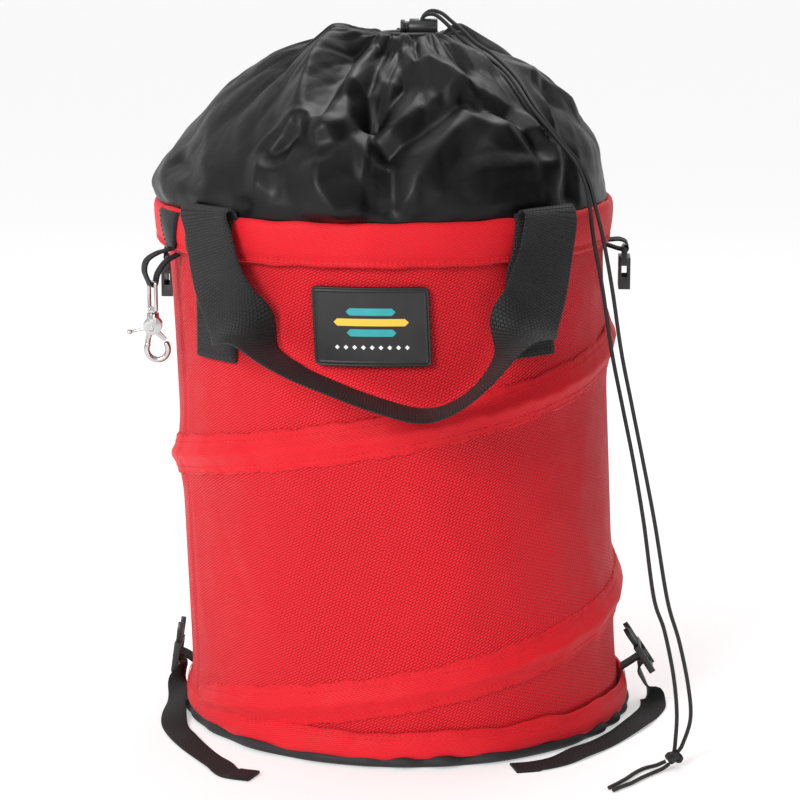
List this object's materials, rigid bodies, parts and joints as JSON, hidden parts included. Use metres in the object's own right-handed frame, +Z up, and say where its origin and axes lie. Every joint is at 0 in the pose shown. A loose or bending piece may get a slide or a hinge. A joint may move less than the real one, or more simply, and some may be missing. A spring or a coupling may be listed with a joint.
{
  "type": "rope storage bag",
  "caption": "Pop-up cylindrical rope bag on a spiral wire, with drawstring collar, webbing handles, swivel snap and compression straps.",
  "frame": {"origin": "middle of the base on the surface that the bag stands on", "axes": "+Z up; -Y is the front with the label and the shaped handle; +X is to the right seen from the front"},
  "size_m": [0.4221, 0.447, 0.5419],
  "materials": {
    "red_fabric": "woven, slight sheen",
    "collar_cloth": "smooth coated cloth",
    "handle_webbing": "ribbed webbing",
    "strap_webbing": "fine webbing",
    "tab_patch": "coated patch",
    "base_cloth": "coated cloth",
    "buckle_plastic": "moulded satin",
    "label_rubber": "matt, raised border",
    "cord_braid": "braided",
    "snap_chrome": "polished",
    "spring_steel": "drawn wire"
  },
  "bodies": {
    "base": {"base_panel": "base_cloth", "base_piping": "base_cloth", "base_band": "red_fabric", "base_hoop": "spring_steel", "wall_panel": "red_fabric", "spiral_wire": "spring_steel", "spiral_channel": "red_fabric", "left_strap": "strap_webbing", "right_strap": "strap_webbing"},
    "rim": {"rim_band": "red_fabric", "rim_hoop": "spring_steel", "collar": "collar_cloth", "hem_cord": "cord_braid", "label_patch": "label_rubber", "front_left_leg": "handle_webbing", "front_right_leg": "handle_webbing", "rear_left_leg": "handle_webbing", "rear_right_leg": "handle_webbing", "snap_tab": "tab_patch", "snap_loop": "strap_webbing", "left_socket_loop": "strap_webbing", "right_socket_loop": "strap_webbing", "cord_lock_barrel": "buckle_plastic", "cord_lock_spring": "spring_steel", "drawcord_left": "cord_braid", "drawcord_right": "cord_braid", "drawcord_knot": "cord_braid", "drawcord_left_tail": "cord_braid", "drawcord_right_tail": "cord_braid"},
    "front_handle": {"front_handle_loop": "handle_webbing"},
    "rear_handle": {"rear_handle_loop": "handle_webbing"},
    "snap_swivel": {"snap_eye": "snap_chrome"},
    "snap_hook": {"snap_body": "snap_chrome", "snap_spring": "spring_steel", "snap_rivet": "snap_chrome"},
    "trigger": {"snap_gate": "snap_chrome"},
    "left_plug": {"left_plug": "buckle_plastic"},
    "right_plug": {"right_plug": "buckle_plastic"},
    "left_socket": {"left_socket": "buckle_plastic"},
    "right_socket": {"right_socket": "buckle_plastic"},
    "lock_plunger": {"cord_lock_plunger": "buckle_plastic"}
  },
  "joints": [
    {"name": "collapse", "type": "slide", "parent": "base", "child": "rim", "axis": [0, 0, -1], "range_m": [0, 0.17], "stiffness_N_per_m": 150, "springref_m": -0.08, "deforming": ["wall_panel", "spiral_wire", "spiral_channel", "drawcord_left", "drawcord_right", "drawcord_knot", "drawcord_left_tail", "drawcord_right_tail"]},
    {"name": "front_handle_swing", "type": "hinge", "parent": "rim", "child": "front_handle", "pos_m": [-0.018, -0.157, 0.404], "axis": [-1, 0, 0], "range_deg": [0, 150]},
    {"name": "rear_handle_swing", "type": "hinge", "parent": "rim", "child": "rear_handle", "pos_m": [-0.018, 0.15, 0.404], "axis": [1, 0, 0], "range_deg": [0, 150]},
    {"name": "snap_swing", "type": "hinge", "parent": "rim", "child": "snap_swivel", "pos_m": [-0.184, -0.087, 0.3445], "axis": [-0.4848, 0.8746, 0], "range_deg": [-4, 100]},
    {"name": "snap_turn", "type": "hinge", "parent": "snap_swivel", "child": "snap_hook", "pos_m": [-0.184, -0.087, 0.3175], "axis": [0, 0, 1], "continuous": true},
    {"name": "trigger_press", "type": "hinge", "parent": "snap_hook", "child": "trigger", "pos_m": [-0.1848, -0.087, 0.3109], "axis": [0, 1, 0], "range_deg": [0, 24], "stiffness_Nm_per_rad": 0.02, "springref_deg": -22.92},
    {"name": "left_plug_tilt", "type": "hinge", "parent": "base", "child": "left_plug", "pos_m": [-0.182, 0, 0.034], "axis": [0, -1, 0], "range_deg": [-3, 16]},
    {"name": "right_plug_tilt", "type": "hinge", "parent": "base", "child": "right_plug", "pos_m": [0.187, 0, 0.039], "axis": [0, 1, 0], "range_deg": [0, 22]},
    {"name": "left_socket_swing", "type": "hinge", "parent": "rim", "child": "left_socket", "pos_m": [-0.191, 0.047, 0.346], "axis": [0, 1, 0], "range_deg": [-12, 100]},
    {"name": "right_socket_swing", "type": "hinge", "parent": "rim", "child": "right_socket", "pos_m": [0.1665, 0, 0.362], "axis": [0, -1, 0], "range_deg": [-12, 100]},
    {"name": "lock_press", "type": "slide", "parent": "rim", "child": "lock_plunger", "axis": [1, 0, 0], "range_m": [0, 0.0035], "stiffness_N_per_m": 400, "springref_m": -0.004, "deforming": ["cord_lock_spring"]}
  ]
}
